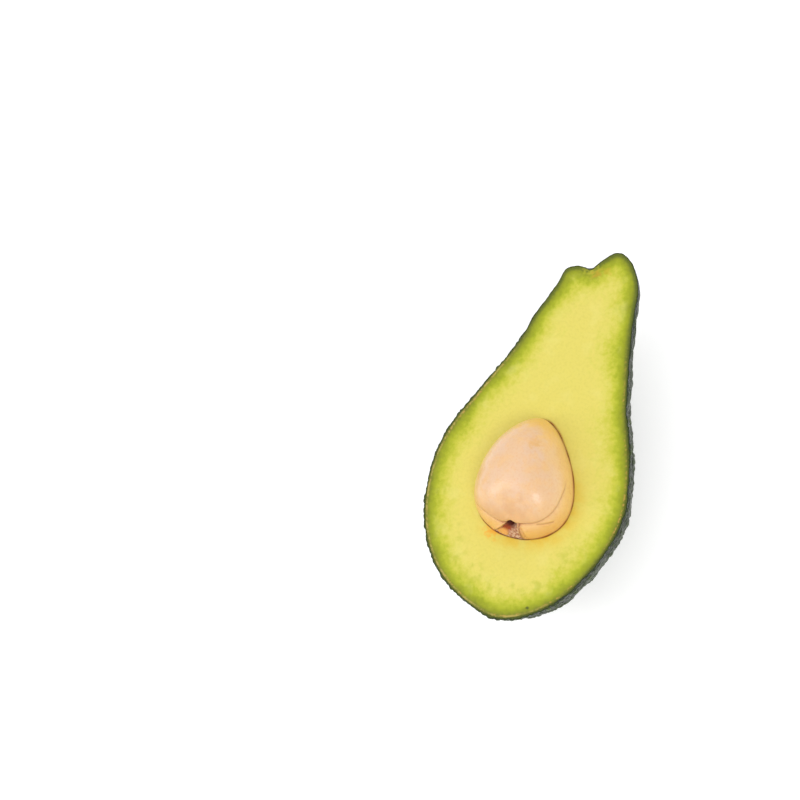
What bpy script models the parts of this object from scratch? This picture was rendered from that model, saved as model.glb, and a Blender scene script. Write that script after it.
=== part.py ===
"""Half of an avocado, cut lengthwise, with its seed still in it.

The half lies on its back with the cut face level. The origin is on the table under the fruit's
centre of mass, +Z is up, +Y runs along the fruit to the stem end, and +X is to the right of it.
Three pieces: the pebbled skin, a thin open shell; the flesh, which fills it and has a hollow in its
cut face; and the whole seed, which lies in the hollow and stands out of the cut face by half its
thickness. All numbers are millimetres until the meshes are made.
"""

import math
import random

import bmesh
import bpy
from mathutils import Vector
from mathutils.geometry import delaunay_2d_cdt

METRES = 0.001

# How far the fullest part of the back is pressed flat where it rests on the table.
PRESSED = 0.8

# The skin, from its outer face, between pebbles and valleys, to its inner wall.
SKIN_THICKNESS = 1.0
FLESH_GAP = 0.3
SEED_GAP = 0.4

# Pebbles on the skin, larger than life.
PEBBLE_SPACING = 3.7
PEBBLE_HEIGHT = (0.32, 0.58)
VALLEY_DEPTH = 0.18
PEBBLE_JITTER = 0.2
PEBBLE_SEED = 7
RIM_SPACING = 2.4

# Stations along the fruit, from the blossom end to the stem pit: the left and right points of the
# cut rim (x, y), then how far the back lies below the cut face there. The belly is widest a third
# of the way up, and the neck leans to the right, with its right shoulder higher than its left.
STATIONS = (
    ((0.6, -50.3), (0.6, -50.3), 0.0),
    ((-9.2, -47.9), (10.4, -47.1), 10.8),
    ((-18.6, -42.6), (19.0, -40.5), 19.2),
    ((-25.8, -35.2), (25.4, -31.4), 25.2),
    ((-30.8, -25.6), (30.2, -21.0), 29.2),
    ((-33.2, -14.4), (32.3, -10.8), 31.3),
    ((-33.0, -2.8), (31.0, 0.2), 32.2),
    ((-30.2, 7.6), (28.0, 11.0), 31.3),
    ((-25.6, 16.8), (24.8, 20.6), 28.5),
    ((-20.8, 26.4), (22.8, 30.0), 24.3),
    ((-15.8, 36.2), (20.8, 40.0), 20.2),
    ((-12.4, 46.6), (19.5, 50.0), 16.8),
    ((-8.8, 56.4), (18.6, 59.6), 14.0),
    ((-6.4, 62.4), (15.8, 67.0), 10.8),
    ((-2.6, 64.7), (11.6, 70.0), 7.2),
    ((-0.2, 64.8), (7.4, 69.8), 3.9),
    ((1.6, 64.9), (1.6, 64.9), 0.0),
)
LAST = len(STATIONS) - 1
CUT_HEIGHT = max(depth for _, _, depth in STATIONS) - PRESSED

# The seed: an egg with its point to the stem end, its middle in the plane of the cut face.
SEED_CENTRE = (-0.4, -5.75)
SEED_HALF_LENGTH = 19.0
SEED_HALF_WIDTH = 14.8
SEED_HALF_THICKNESS = 14.5
SEED_POINT = 0.385  # how much narrower the egg gets towards its point

# Its two seed leaves meet at a seam, which runs high across the root end and sinks at both sides.
# The lower leaf stands a little proud of the upper one there.
SEAM_LATITUDE = math.radians(33)
SEAM_LOWEST = math.radians(5)
SEAM_MIDDLE = math.radians(-80)
SEAM_LEVEL, SEAM_END = math.radians(55), math.radians(105)
SEAM_DEPTH = 0.6
LIP_PROUD = 0.35

# The mouth at the root end, on the seam, with a cleft below it, and a shallow valley above it.
# Each is a dent: latitude, turn, radius and depth.
DENTS = (
    (math.radians(34), math.radians(-90), 2.3, 3.6),
    (math.radians(13), math.radians(-93), 3.2, 2.3),
    (math.radians(52), math.radians(-91), 5.0, 0.9),
)

# How finely the smooth walls are cut into faces. The seed's rings are shares of the way from the
# seam, 0, down to its lowest point, -1, and up to its top, 1. The hollow's are degrees below the
# cut face.
RINGS = 38
RING_SIDES = 24
SEED_SIDES = 40
SEED_RINGS = (-0.82, -0.64, -0.48, -0.34, -0.22, -0.12, -0.05, 0, 0.05, 0.12, 0.24, 0.38, 0.52, 0.66, 0.8, 0.91)
SEAM_HALF_SHARE = 0.05
HOLLOW_RINGS = (0, 12, 24, 36, 50, 64, 78)


def clear_scene():
    for obj in list(bpy.data.objects):
        bpy.data.objects.remove(obj, do_unlink=True)


def through(points, t):
    """A smooth curve through points, one unit of t apart, with a ghost point before and after."""
    i = min(int(t), len(points) - 4)
    f = t - i
    a, b, c, d = points[i : i + 4]
    return 0.5 * (2 * b + (c - a) * f + (2 * a - 5 * b + 4 * c - d) * f * f + (3 * b - a - 3 * c + d) * f**3)


def with_ghosts(points, mirrored):
    """The curve goes on round each pole of the fruit, into the opposite curve."""
    return [mirrored[1], *points, mirrored[-2]]


def rim_and_back():
    """The three curves that the fruit's surface is stretched over."""
    left = [Vector((*l, CUT_HEIGHT)) for l, _, _ in STATIONS]
    right = [Vector((*r, CUT_HEIGHT)) for _, r, _ in STATIONS]
    back = [(l + r) / 2 - Vector((0, 0, s[2])) for l, r, s in zip(left, right, STATIONS)]
    front = [(l + r) / 2 + Vector((0, 0, s[2])) for l, r, s in zip(left, right, STATIONS)]
    return with_ghosts(left, right), with_ghosts(right, left), with_ghosts(back, front)


LEFT, RIGHT, BACK = rim_and_back()


def on_fruit(t, v):
    """A point on the smooth fruit: t runs from the blossom end to the stem pit, and v from the left
    rim, 0, down round the back and up to the right rim, 1."""
    left, right, back = through(LEFT, t), through(RIGHT, t), through(BACK, t)
    middle = (left + right) / 2
    turn = math.pi * v
    return middle - (right - left) / 2 * math.cos(turn) + (back - middle) * math.sin(turn)


def outward(t, v):
    """The surface's outward direction, which is level all along the cut rim."""
    t = min(max(t, 0.02), LAST - 0.02)
    step = 0.01
    along = on_fruit(t + step, v) - on_fruit(t - step, v)
    low, high = max(v - step, 0.0), min(v + step, 1.0)
    around = on_fruit(t, high) - on_fruit(t, low)
    normal = along.cross(around)
    if v in (0.0, 1.0):
        normal.z = 0.0
    return normal.normalized()


def layer_point(t, v, raised, floor):
    """A point raised above the smooth fruit, or sunk into it, and no lower than its floor."""
    point = on_fruit(t, v) + outward(t, v) * raised
    return Vector((point.x, point.y, max(point.z, floor)))


def smooth_layer(bm, inside):
    """Adds one open layer inside the fruit, as rings from pole to pole. It keeps its distance from
    the table too, where the fruit is pressed flat."""
    first = bm.verts.new(on_fruit(0, 0.0) + Vector((0, inside, 0)))
    last = bm.verts.new(on_fruit(LAST, 0.0) - Vector((0, inside, 0)))
    rings = []
    for i in range(1, RINGS):
        t = LAST * i / RINGS
        points = [layer_point(t, k / RING_SIDES, -inside, inside) for k in range(RING_SIDES + 1)]
        rings.append([bm.verts.new(point) for point in points])
    for end, ring in ((first, rings[0]), (last, rings[-1])):
        for a, b in zip(ring, ring[1:]):
            bm.faces.new((end, a, b))
    for low, high in zip(rings, rings[1:]):
        for k in range(RING_SIDES):
            bm.faces.new((low[k], high[k], high[k + 1], low[k + 1]))


class Unrolled:
    """The back of the fruit laid out flat: how far along it, and how far round it from the middle."""

    SAMPLES = 400

    def __init__(self):
        self.stations = [LAST * i / self.SAMPLES for i in range(self.SAMPLES + 1)]
        backs = [on_fruit(t, 0.5) for t in self.stations]
        self.along = [0.0]
        for a, b in zip(backs, backs[1:]):
            self.along.append(self.along[-1] + (b - a).length)
        self.girths = [self.girth(t) for t in self.stations]

    @staticmethod
    def girth(t, steps=24):
        ring = [on_fruit(t, k / steps) for k in range(steps + 1)]
        return sum((b - a).length for a, b in zip(ring, ring[1:]))

    def station(self, along):
        """The station and the girth at a distance along the back."""
        low, high = 0, self.SAMPLES
        while high - low > 1:
            middle = (low + high) // 2
            if self.along[middle] <= along:
                low = middle
            else:
                high = middle
        share = (along - self.along[low]) / max(self.along[high] - self.along[low], 1e-9)
        t = self.stations[low] + share * (self.stations[high] - self.stations[low])
        return t, self.girths[low] + share * (self.girths[high] - self.girths[low])

    def rim(self, spacing):
        """Points of the flat layout's edge, evenly spaced, down its left side and up its right."""
        left = []
        travelled = 0.0
        for i in range(1, self.SAMPLES):
            a, b = (on_fruit(self.stations[j], 0.0) for j in (i - 1, i))
            travelled += (b - a).length
            if travelled >= spacing:
                left.append(Vector((self.along[i], -self.girths[i] / 2)))
                travelled = 0.0
        right = [Vector((p.x, -p.y)) for p in reversed(left)]
        return [Vector((0, 0)), *left, Vector((self.along[-1], 0)), *right]


def pebble_tops(flat):
    """Pebble tops in offset rows, spread evenly from rim to rim and each moved a little at random."""
    draw = random.Random(PEBBLE_SEED)
    margin = PEBBLE_SPACING / 2
    length = flat.along[-1] - 2 * margin
    rows = round(length / (PEBBLE_SPACING * math.sqrt(3) / 2))
    tops = []
    for row in range(rows + 1):
        x = margin + length * row / rows
        usable = flat.station(x)[1] - 2 * margin
        count = max(1, round(usable / PEBBLE_SPACING))
        odd = row % 2
        for k in range(count + 1 - odd):
            y = usable * ((k + odd / 2) / count - 0.5)
            shift = Vector((draw.uniform(-1, 1), draw.uniform(-1, 1))) * PEBBLE_JITTER * PEBBLE_SPACING
            if not odd and k in (0, count):
                shift.y = 0.0
            tops.append(Vector((x, y)) + shift)
    return tops


def can_turn(edge):
    """Whether the line between the two points opposite an edge crosses it well inside its ends."""
    low, high = edge.verts
    a, b = (next(v for v in face.verts if v not in edge.verts) for face in edge.link_faces)
    across = (b.co - a.co).xy
    side_low = across.cross((low.co - a.co).xy)
    side_high = across.cross((high.co - a.co).xy)
    share = side_low / (side_low - side_high) if side_low != side_high else 0.0
    return 0.1 < share < 0.9


def pebbled_layer(bm):
    """Adds the skin's outer face. The flat layout is cut into triangles between the pebble tops,
    each triangle gets a low point at its middle, and the edges from the tops are turned to join
    the low points, so that a ring of valley surrounds each pebble."""
    flat = Unrolled()
    rim = flat.rim(RIM_SPACING)
    rim_edges = [(i, (i + 1) % len(rim)) for i in range(len(rim))]
    points, _, triangles, sources, _, _ = delaunay_2d_cdt(rim + pebble_tops(flat), rim_edges, [], 1, 1e-6)

    laid = bmesh.new()
    verts = [laid.verts.new((*point, 0)) for point in points]
    for triangle in triangles:
        laid.faces.new([verts[i] for i in triangle])
    top_verts = {vert for vert, source in zip(verts, sources) if min(source) >= len(rim)}
    rim_verts = set(verts) - top_verts
    bmesh.ops.poke(laid, faces=laid.faces[:])
    from_tops = [e for e in laid.edges if not top_verts.isdisjoint(e.verts) and set(e.verts) < set(verts)]
    bmesh.ops.rotate_edges(laid, edges=[e for e in from_tops if can_turn(e)], use_ccw=False)

    draw = random.Random(PEBBLE_SEED + 1)
    placed = {}
    for vert in laid.verts:
        t, girth = flat.station(vert.co.x)
        if vert in rim_verts:
            point = on_fruit(t, 0.0 if vert.co.y < 0 else 1.0)
        else:
            raised = draw.uniform(*PEBBLE_HEIGHT) if vert in top_verts else -VALLEY_DEPTH
            point = layer_point(t, 0.5 + vert.co.y / girth, raised, 0.0)
        placed[vert] = bm.verts.new(point)
    for face in laid.faces:
        bm.faces.new([placed[v] for v in face.verts])
    laid.free()


def fill_cut_face(bm):
    """Closes the level face between the open edges, all of which lie in the cut plane."""
    open_edges = [e for e in bm.edges if e.is_boundary]
    bmesh.ops.triangle_fill(bm, use_beauty=True, use_dissolve=False, edges=open_edges)
    bmesh.ops.recalc_face_normals(bm, faces=bm.faces[:])


def egg(latitude, turn, grown=0.0):
    """A point of the seed's plain egg, at a latitude above the cut face and a turn from +X."""
    width = SEED_HALF_WIDTH * (1 - SEED_POINT * math.sin(turn)) + grown
    level = math.cos(latitude)
    return Vector(
        (
            SEED_CENTRE[0] + width * math.cos(turn) * level,
            SEED_CENTRE[1] + (SEED_HALF_LENGTH + grown) * math.sin(turn) * level,
            CUT_HEIGHT + (SEED_HALF_THICKNESS + grown) * math.sin(latitude),
        )
    )


def seam_height(turn):
    """How high the seam runs at a turn, from 1 across the root end to 0 round the point."""
    away = abs((turn - SEAM_MIDDLE + math.pi) % math.tau - math.pi)
    share = min(max((SEAM_END - away) / (SEAM_END - SEAM_LEVEL), 0.0), 1.0)
    return share * share * (3 - 2 * share)


def seed_point(share, turn):
    """The egg with the step where its two leaves meet, and the dents at its root end."""
    high = seam_height(turn)
    seam = SEAM_LOWEST + (SEAM_LATITUDE - SEAM_LOWEST) * high
    latitude = seam + share * (math.pi / 2 - seam if share > 0 else math.pi / 2 + seam)
    point = egg(latitude, turn)
    inward = (Vector((*SEED_CENTRE, CUT_HEIGHT)) - point).normalized()
    sunk = SEAM_DEPTH * high * max(0.0, 1 - abs(share) / SEAM_HALF_SHARE)
    if share < 0 < latitude:
        sunk -= LIP_PROUD * high * min(1.0, latitude / SEAM_LOWEST)
    for dent_latitude, dent_turn, radius, depth in DENTS:
        off = (point - egg(dent_latitude, dent_turn)).length / radius
        sunk += depth * math.exp(-off * off)
    return point + inward * sunk


def closed_rings(bm, rings):
    for low, high in zip(rings, rings[1:]):
        for k in range(len(low)):
            n = (k + 1) % len(low)
            bm.faces.new((low[k], low[n], high[n], high[k]))


def end_fan(bm, centre, ring):
    for k in range(len(ring)):
        bm.faces.new((centre, ring[k], ring[(k + 1) % len(ring)]))


def seed_hollow(bm):
    """Adds the wall of the hollow: the lower half of the egg, grown by the gap round the seed."""
    turns = [math.tau * k / SEED_SIDES for k in range(SEED_SIDES)]
    rings = [[bm.verts.new(egg(-math.radians(d), turn, SEED_GAP)) for turn in turns] for d in HOLLOW_RINGS]
    bottom = bm.verts.new(egg(-math.pi / 2, 0.0, SEED_GAP))
    closed_rings(bm, rings)
    end_fan(bm, bottom, rings[-1])


def make_object(name, bm, colour, roughness):
    """A named object with its own finish, from a bmesh in millimetres."""
    for vert in bm.verts:
        vert.co *= METRES
    bmesh.ops.recalc_face_normals(bm, faces=bm.faces[:])
    mesh = bpy.data.meshes.new(name)
    bm.to_mesh(mesh)
    bm.free()
    material = bpy.data.materials.new(name)
    material.use_nodes = True
    shader = material.node_tree.nodes["Principled BSDF"]
    shader.inputs["Base Color"].default_value = (*colour, 1.0)
    shader.inputs["Roughness"].default_value = roughness
    shader.inputs["Metallic"].default_value = 0.0
    mesh.materials.append(material)
    obj = bpy.data.objects.new(name, mesh)
    bpy.context.scene.collection.objects.link(obj)
    return obj


def make_skin():
    bm = bmesh.new()
    pebbled_layer(bm)
    smooth_layer(bm, SKIN_THICKNESS)
    fill_cut_face(bm)
    return make_object("skin", bm, (0.020, 0.052, 0.016), 0.42)


def make_flesh():
    bm = bmesh.new()
    smooth_layer(bm, SKIN_THICKNESS + FLESH_GAP)
    seed_hollow(bm)
    fill_cut_face(bm)
    return make_object("flesh", bm, (0.72, 0.70, 0.16), 0.5)


def make_seed():
    bm = bmesh.new()
    turns = [math.tau * k / SEED_SIDES for k in range(SEED_SIDES)]
    rings = [[bm.verts.new(seed_point(share, turn)) for turn in turns] for share in SEED_RINGS]
    closed_rings(bm, rings)
    end_fan(bm, bm.verts.new(seed_point(-1, 0.0)), rings[0])
    end_fan(bm, bm.verts.new(seed_point(1, 0.0)), rings[-1])
    seed = make_object("seed", bm, (0.78, 0.46, 0.27), 0.4)
    seed.data.shade_smooth()
    return seed


clear_scene()
make_skin()
make_flesh()
make_seed()
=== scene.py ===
# %% [markdown]
# # Half an avocado, with its seed
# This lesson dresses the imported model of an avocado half. The fruit was cut lengthwise, it lies on
# its back, and its seed is still in it. Nature made it of three pieces: a thin pebbled skin, the
# flesh, which has a hollow in its cut face, and the seed in that hollow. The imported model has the
# same three as plain solids. Each gets a finer piece here, of nearly the same form, which takes its
# place in pictures while the solid goes on doing the physics.

import math

import bmesh
import bpy
import numpy as np
from mathutils import Matrix, Vector, noise


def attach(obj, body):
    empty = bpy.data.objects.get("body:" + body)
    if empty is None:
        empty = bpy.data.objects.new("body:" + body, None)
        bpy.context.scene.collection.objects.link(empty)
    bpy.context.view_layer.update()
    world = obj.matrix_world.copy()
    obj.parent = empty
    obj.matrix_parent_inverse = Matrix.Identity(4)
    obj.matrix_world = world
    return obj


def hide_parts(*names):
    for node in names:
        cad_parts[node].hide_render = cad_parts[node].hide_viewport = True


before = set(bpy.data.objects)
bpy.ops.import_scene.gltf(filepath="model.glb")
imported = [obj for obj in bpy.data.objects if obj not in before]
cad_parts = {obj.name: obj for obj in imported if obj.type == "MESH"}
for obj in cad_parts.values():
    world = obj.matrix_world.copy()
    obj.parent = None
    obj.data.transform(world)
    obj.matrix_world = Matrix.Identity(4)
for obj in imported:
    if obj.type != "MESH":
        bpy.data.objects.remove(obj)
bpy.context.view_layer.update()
MM = 0.001
print("packed nodes:", sorted(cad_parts))

# %% [markdown]
# ## The camera
# It comes first, so that every later picture can be held against the photograph. The view is from
# the fruit's right and its blossom end, 25 degrees away from straight above the cut face, through a
# long lens, which keeps the outline free of perspective. A camera could be aimed by angles, but its
# three axes, written out, leave no doubt about the roll. The fruit lies right of the middle.

# %% Place the camera
CAMERA_PLACE = (0.3094, -0.1395, 0.8638)
CAMERA_RIGHT = (0.90334, 0.25711, -0.34332)
CAMERA_UP = (-0.17668, 0.95241, 0.24838)
CAMERA_BACK = (0.39085, -0.16371, 0.90578)
CAMERA_SENSOR = 36.0
CAMERA_LENS = 129.81

camera = bpy.data.objects.new("camera", bpy.data.cameras.new("camera"))
camera.data.sensor_width = CAMERA_SENSOR
camera.data.lens = CAMERA_LENS
turned = Matrix((CAMERA_RIGHT, CAMERA_UP, CAMERA_BACK)).transposed().to_4x4()
camera.matrix_world = Matrix.Translation(CAMERA_PLACE) @ turned
bpy.context.scene.collection.objects.link(camera)
bpy.context.scene.camera = camera
print("camera is", round(Vector(CAMERA_PLACE).length, 3), "m from the fruit")

# %% [markdown]
# ## The curves of the fruit
# A fruit has no straight edge to measure from. What describes it is a few cross-sections: how far
# left and right the cut rim reaches at each station from the blossom end to the stem, and how deep
# the back is there. The belly is widest a third of the way up. The neck leans to the right, and its
# right shoulder stands higher than its left, with the stem pit between them. A smooth curve runs
# through each of the three rows of points, and half an ellipse joins them at every station. The
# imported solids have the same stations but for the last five, which make the notch at the stem.

# %% Stations along the fruit: left and right rim as (x, y), and the depth, in millimetres
CUT = 31.4 * MM
STATIONS = (
    ((0.6, -50.3), (0.6, -50.3), 0.0),
    ((-9.2, -47.9), (10.4, -47.1), 10.8),
    ((-18.6, -42.6), (19.0, -40.5), 19.2),
    ((-25.8, -35.2), (25.4, -31.4), 25.2),
    ((-30.8, -25.6), (30.2, -21.0), 29.2),
    ((-33.2, -14.4), (32.3, -10.8), 31.3),
    ((-33.0, -2.8), (31.0, 0.2), 32.2),
    ((-30.2, 7.6), (28.0, 11.0), 31.3),
    ((-25.6, 16.8), (24.8, 20.6), 28.5),
    ((-20.8, 26.4), (22.8, 30.0), 24.3),
    ((-15.8, 36.2), (20.8, 40.0), 20.2),
    ((-12.4, 46.6), (19.5, 50.0), 16.8),
    ((-8.3, 56.4), (18.3, 60.7), 14.0),
    ((-6.5, 62.2), (13.9, 68.2), 10.8),
    ((-3.0, 64.0), (9.0, 70.3), 7.2),
    ((-0.4, 64.0), (4.5, 66.8), 3.9),
    ((1.9, 63.8), (1.9, 63.8), 0.0),
)
LAST = len(STATIONS) - 1


def through(points, t):
    """A smooth curve through points that are one unit of t apart, read at many t at once."""
    i = np.clip(t.astype(int), 0, len(points) - 4)
    f = (t - i)[:, None]
    a, b, c, d = (points[i + k] for k in range(4))
    slope, bend, twist = c - a, 2 * a - 5 * b + 4 * c - d, 3 * b - a - 3 * c + d
    return 0.5 * (2 * b + slope * f + bend * f**2 + twist * f**3)


def with_ghosts(points, opposite):
    """Each curve goes on round the pole into the opposite one, so it takes a point of it."""
    return np.vstack([opposite[1], points, opposite[-2]])


left = np.array([(*l, CUT / MM) for l, _, _ in STATIONS]) * MM
right = np.array([(*r, CUT / MM) for _, r, _ in STATIONS]) * MM
depth = np.array([(0, 0, d) for _, _, d in STATIONS]) * MM
LEFT, RIGHT = with_ghosts(left, right), with_ghosts(right, left)
BACK = with_ghosts((left + right) / 2 - depth, (left + right) / 2 + depth)


def fruit_surface(t, turn):
    """Points of the smooth fruit. The turn is 0 at the left rim, a quarter at the back, a half at
    the right rim, and goes on over the half that the knife took away."""
    l, r, b = (through(curve, t) for curve in (LEFT, RIGHT, BACK))
    middle = (l + r) / 2
    return middle - (r - l) / 2 * np.cos(turn)[:, None] + (b - middle) * np.sin(turn)[:, None]


print("rim runs from y", round(left[0][1] / MM, 1), "to", round(right[:, 1].max() / MM, 1), "mm")

# %% [markdown]
# ## Roll the fruit, then cut it
# The easiest way to a clean cut is the real one: make more of the fruit than is needed, then cut.
# A flat grid of squares is rolled up into the fruit. Each of its points knows how far along and how
# far round it is, and moves to that place on the curves. The grid goes a little past the cut on
# both sides. Its two ends shrink to the poles, where a merge closes them. A sphere would do as
# well, but Blender takes far longer to make a fine one. The skin, its inner wall and the flesh all
# start this way, each with as many squares as it needs.

# %% Helpers that read, write and select
def read_points(mesh):
    points = np.empty(len(mesh.vertices) * 3)
    mesh.vertices.foreach_get("co", points)
    return points.reshape(-1, 3)


def write_points(mesh, points):
    mesh.vertices.foreach_set("co", np.ascontiguousarray(points).ravel())
    mesh.update()


def write_attribute(piece, name, values):
    layer = piece.data.attributes.new(name, "FLOAT", "POINT")
    layer.data.foreach_set("value", np.asarray(values, dtype=np.float32))


def select_only(piece):
    bpy.ops.object.select_all(action="DESELECT")
    piece.select_set(True)
    bpy.context.view_layer.objects.active = piece


def edit(piece, kind="VERT"):
    select_only(piece)
    bpy.ops.object.mode_set(mode="EDIT")
    bpy.ops.mesh.select_mode(type=kind)


def select_open_rim():
    bpy.ops.mesh.select_mode(type="EDGE")
    bpy.ops.mesh.select_all(action="DESELECT")
    bpy.ops.mesh.select_non_manifold(
        extend=False, use_wire=False, use_multi_face=False, use_non_contiguous=False
    )


def face_outwards_and_leave():
    bpy.ops.mesh.select_all(action="SELECT")
    bpy.ops.mesh.normals_make_consistent(inside=False)
    bpy.ops.object.mode_set(mode="OBJECT")


def triangles(piece):
    return sum(len(face.vertices) - 2 for face in piece.data.polygons)


# %% Roll a grid up into the fruit
PAST_THE_CUT = math.radians(14)
SAME_POINT = 1e-6


def roll(name, around, along, place):
    """A grid whose points a function moves by their shares, 0 to 1, of the way round and along."""
    bpy.ops.object.select_all(action="DESELECT")
    bpy.ops.mesh.primitive_grid_add(x_subdivisions=around, y_subdivisions=along, size=1)
    piece = bpy.context.object
    piece.name = piece.data.name = name
    x, y, _ = read_points(piece.data).T
    write_points(piece.data, place(x + 0.5, y + 0.5))
    edit(piece)
    bpy.ops.mesh.select_all(action="SELECT")
    bpy.ops.mesh.remove_doubles(threshold=SAME_POINT)
    face_outwards_and_leave()
    return piece


def rolled_fruit(name, around, along):
    def place(round_share, along_share):
        turn = round_share * (math.pi + 2 * PAST_THE_CUT) - PAST_THE_CUT
        return fruit_surface(along_share * LAST, turn)

    return roll(name, around, along, place)


def push(piece, distance, group=""):
    """Moves a surface along its own normals, all of it or as far as a vertex group says."""
    select_only(piece)
    swell = piece.modifiers.new("swell", "DISPLACE")
    swell.mid_level = 0.0
    swell.strength = distance
    swell.vertex_group = group
    bpy.ops.object.modifier_apply(modifier=swell.name)


# %% Cut it level and let it rest
ON_THE_CUT = 1e-7
RIM_MERGE = 0.12 * MM


def cut_level(piece):
    """Takes away everything above the cut face and leaves the cut open. Points that crowd on the
    rim at the two poles become one, so that the rim can be filled or extruded cleanly."""
    edit(piece)
    bpy.ops.mesh.select_all(action="SELECT")
    bpy.ops.mesh.bisect(
        plane_co=(0, 0, CUT), plane_no=(0, 0, 1), clear_outer=True, threshold=ON_THE_CUT
    )
    select_open_rim()
    bpy.ops.transform.resize(value=(1, 1, 0), center_override=(0, 0, CUT))
    bpy.ops.mesh.remove_doubles(threshold=RIM_MERGE)
    bpy.ops.object.mode_set(mode="OBJECT")


def press_flat(piece, floor):
    """The back is pressed flat where it rests, each layer at its own height above the table."""
    points = read_points(piece.data)
    points[:, 2] = np.maximum(points[:, 2], floor)
    write_points(piece.data, points)


# %% [markdown]
# ## The skin
# The skin is thin and tough, and covered in pebbles about 2 mm apart, which stretch into short
# ridges along the neck and fade out on the shoulders. They show in the fruit's outline, so they are
# real relief and not only a bump in the finish. A Voronoi pattern gives them: space is shared out
# between scattered points, and the distance to the nearest wall between two shares rises from 0 in
# the valleys to a dome on top of each pebble. Bending the space a little first keeps the pebbles
# from looking machine-made, and low lumps a few pebbles wide lift some of them more than others.
# The smooth fruit is first pushed in by the valleys' depth, then out by what a vertex group says.

# %% Shape a pebble
PEBBLE_SIZE = 1.75 * MM
PEBBLE_HEIGHT = 0.85 * MM
VALLEY_DEPTH = 0.25 * MM
LUMP_SIZE = 6 * MM
LEVEL = VALLEY_DEPTH / (PEBBLE_HEIGHT + VALLEY_DEPTH)  # the share at which the skin stays smooth


def smooth(low, high, value):
    share = np.clip((value - low) / (high - low), 0, 1)
    return share * share * (3 - 2 * share)


def pebble(point):
    """How high a pebble stands at a point and how high the skin does there, both from 0 to 1."""
    neck = float(smooth(10 * MM, 55 * MM, point.y))
    stretched = Vector((point.x, point.y * (1 - 0.4 * neck), point.z)) / PEBBLE_SIZE
    bent = stretched + noise.noise_vector(stretched * 0.5) * 0.5
    distances, centres = noise.voronoi(bent)
    wall = min((distances[1] - distances[0]) / 0.75, 1.0)
    dome = 1 - (1 - wall) ** 2
    crown = max(0.0, 1 - (distances[0] / 0.95) ** 2)
    tall = 0.55 + 0.45 * noise.noise(centres[0] * 3.1)
    swell = 0.75 + 0.45 * noise.noise(stretched * 0.35)
    knob = (0.6 * dome + 0.4 * crown) * tall * swell * 1.45
    lump = 0.22 + 0.4 * noise.noise(point / LUMP_SIZE)
    fade = 1 - 0.75 * float(smooth(44 * MM, 64 * MM, point.y))
    height = (0.8 * knob + lump) * fade + LEVEL * (1 - fade)
    return min(max(0.0, knob * fade), 1.0), min(max(0.0, height), 1.0)


# %% Raise the pebbles
SKIN_AROUND, SKIN_ALONG = 290, 344
HEIGHT_STEPS = 255  # a group is filled step by step, because one call takes many points

# Blender seeds noise_vector by the clock, so without this no two runs give the same pebbles.
noise.seed_set(7)
skin = rolled_fruit("skin_peel", SKIN_AROUND, SKIN_ALONG)
points = read_points(skin.data)
knobs, heights = np.zeros(len(points)), np.zeros(len(points))
for i in np.flatnonzero(points[:, 2] < CUT + 1 * MM):
    knobs[i], heights[i] = pebble(Vector(points[i]))
write_attribute(skin, "pebble", knobs)
relief = skin.vertex_groups.new(name="relief")
steps = np.round(heights * HEIGHT_STEPS).astype(int)
for step in range(1, HEIGHT_STEPS + 1):
    relief.add(np.flatnonzero(steps == step).tolist(), step / HEIGHT_STEPS, "REPLACE")
push(skin, -VALLEY_DEPTH)
push(skin, PEBBLE_HEIGHT + VALLEY_DEPTH, "relief")
cut_level(skin)
press_flat(skin, 0.0)
print("pebbled face:", len(skin.data.polygons), "faces")

# %% [markdown]
# The skin has a thickness, which shows as a thin dark line round the cut. A Solidify modifier would
# double every pebble inside, where nobody looks. The inner wall is hidden behind the flesh and
# needs few faces, so it is a second, coarser fruit, pushed inwards and cut at the same height.
# Joined, the two walls have a level gap between their rims, and a fill closes it. An attribute
# keeps how deep in the skin each point is, for the colour of the cut edge.

# %% Give the skin its inner wall
SKIN_THICKNESS = 0.34 * MM
INNER_AROUND, INNER_ALONG = 40, 160

inner = rolled_fruit("skin_inner", INNER_AROUND, INNER_ALONG)
push(inner, -SKIN_THICKNESS)
cut_level(inner)
press_flat(inner, SKIN_THICKNESS)
write_attribute(inner, "pebble", np.zeros(len(inner.data.vertices)))
write_attribute(inner, "inside", np.ones(len(inner.data.vertices)))
write_attribute(skin, "inside", np.zeros(len(skin.data.vertices)))
select_only(skin)
inner.select_set(True)
bpy.ops.object.join()
edit(skin, "EDGE")
select_open_rim()
bpy.ops.mesh.fill(use_beauty=True)
face_outwards_and_leave()
skin.vertex_groups.clear()
skin.data.shade_smooth()
print("skin:", triangles(skin), "triangles")

# %% [markdown]
# ## The flesh
# The flesh fills the skin, and all that shows of it is the cut face and a little of the hollow. Its
# colour depends on how far it is from the skin, so the cut face needs points near the rim to carry
# that distance. The open rim is extruded inwards ring by ring, each point moving straight towards
# the seed, with the first rings close together. At the seed the rings turn down into the hollow.
# Filling the face in one go and cutting the hollow out with a boolean would leave no such rings.

# %% The egg that seed and hollow share
SEED_CENTRE = np.array((-0.4, -5.75, CUT / MM)) * MM
SEED_LENGTH = 19.0 * MM
SEED_WIDTH = 14.8 * MM
SEED_THICKNESS = 14.5 * MM
SEED_POINT = 0.385


def egg(latitude, turn, grown=0.0):
    """Points of an egg with its point to the stem, by latitude above the cut face and turn."""
    width = SEED_WIDTH * (1 - SEED_POINT * np.sin(turn)) + grown
    level = np.cos(latitude)
    x = width * np.cos(turn) * level
    y = (SEED_LENGTH + grown) * np.sin(turn) * level
    z = (SEED_THICKNESS + grown) * np.sin(latitude)
    return SEED_CENTRE + np.stack(np.broadcast_arrays(x, y, z), axis=-1)


def bearing(points):
    return np.arctan2(points[:, 1] - SEED_CENTRE[1], points[:, 0] - SEED_CENTRE[0])


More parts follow.
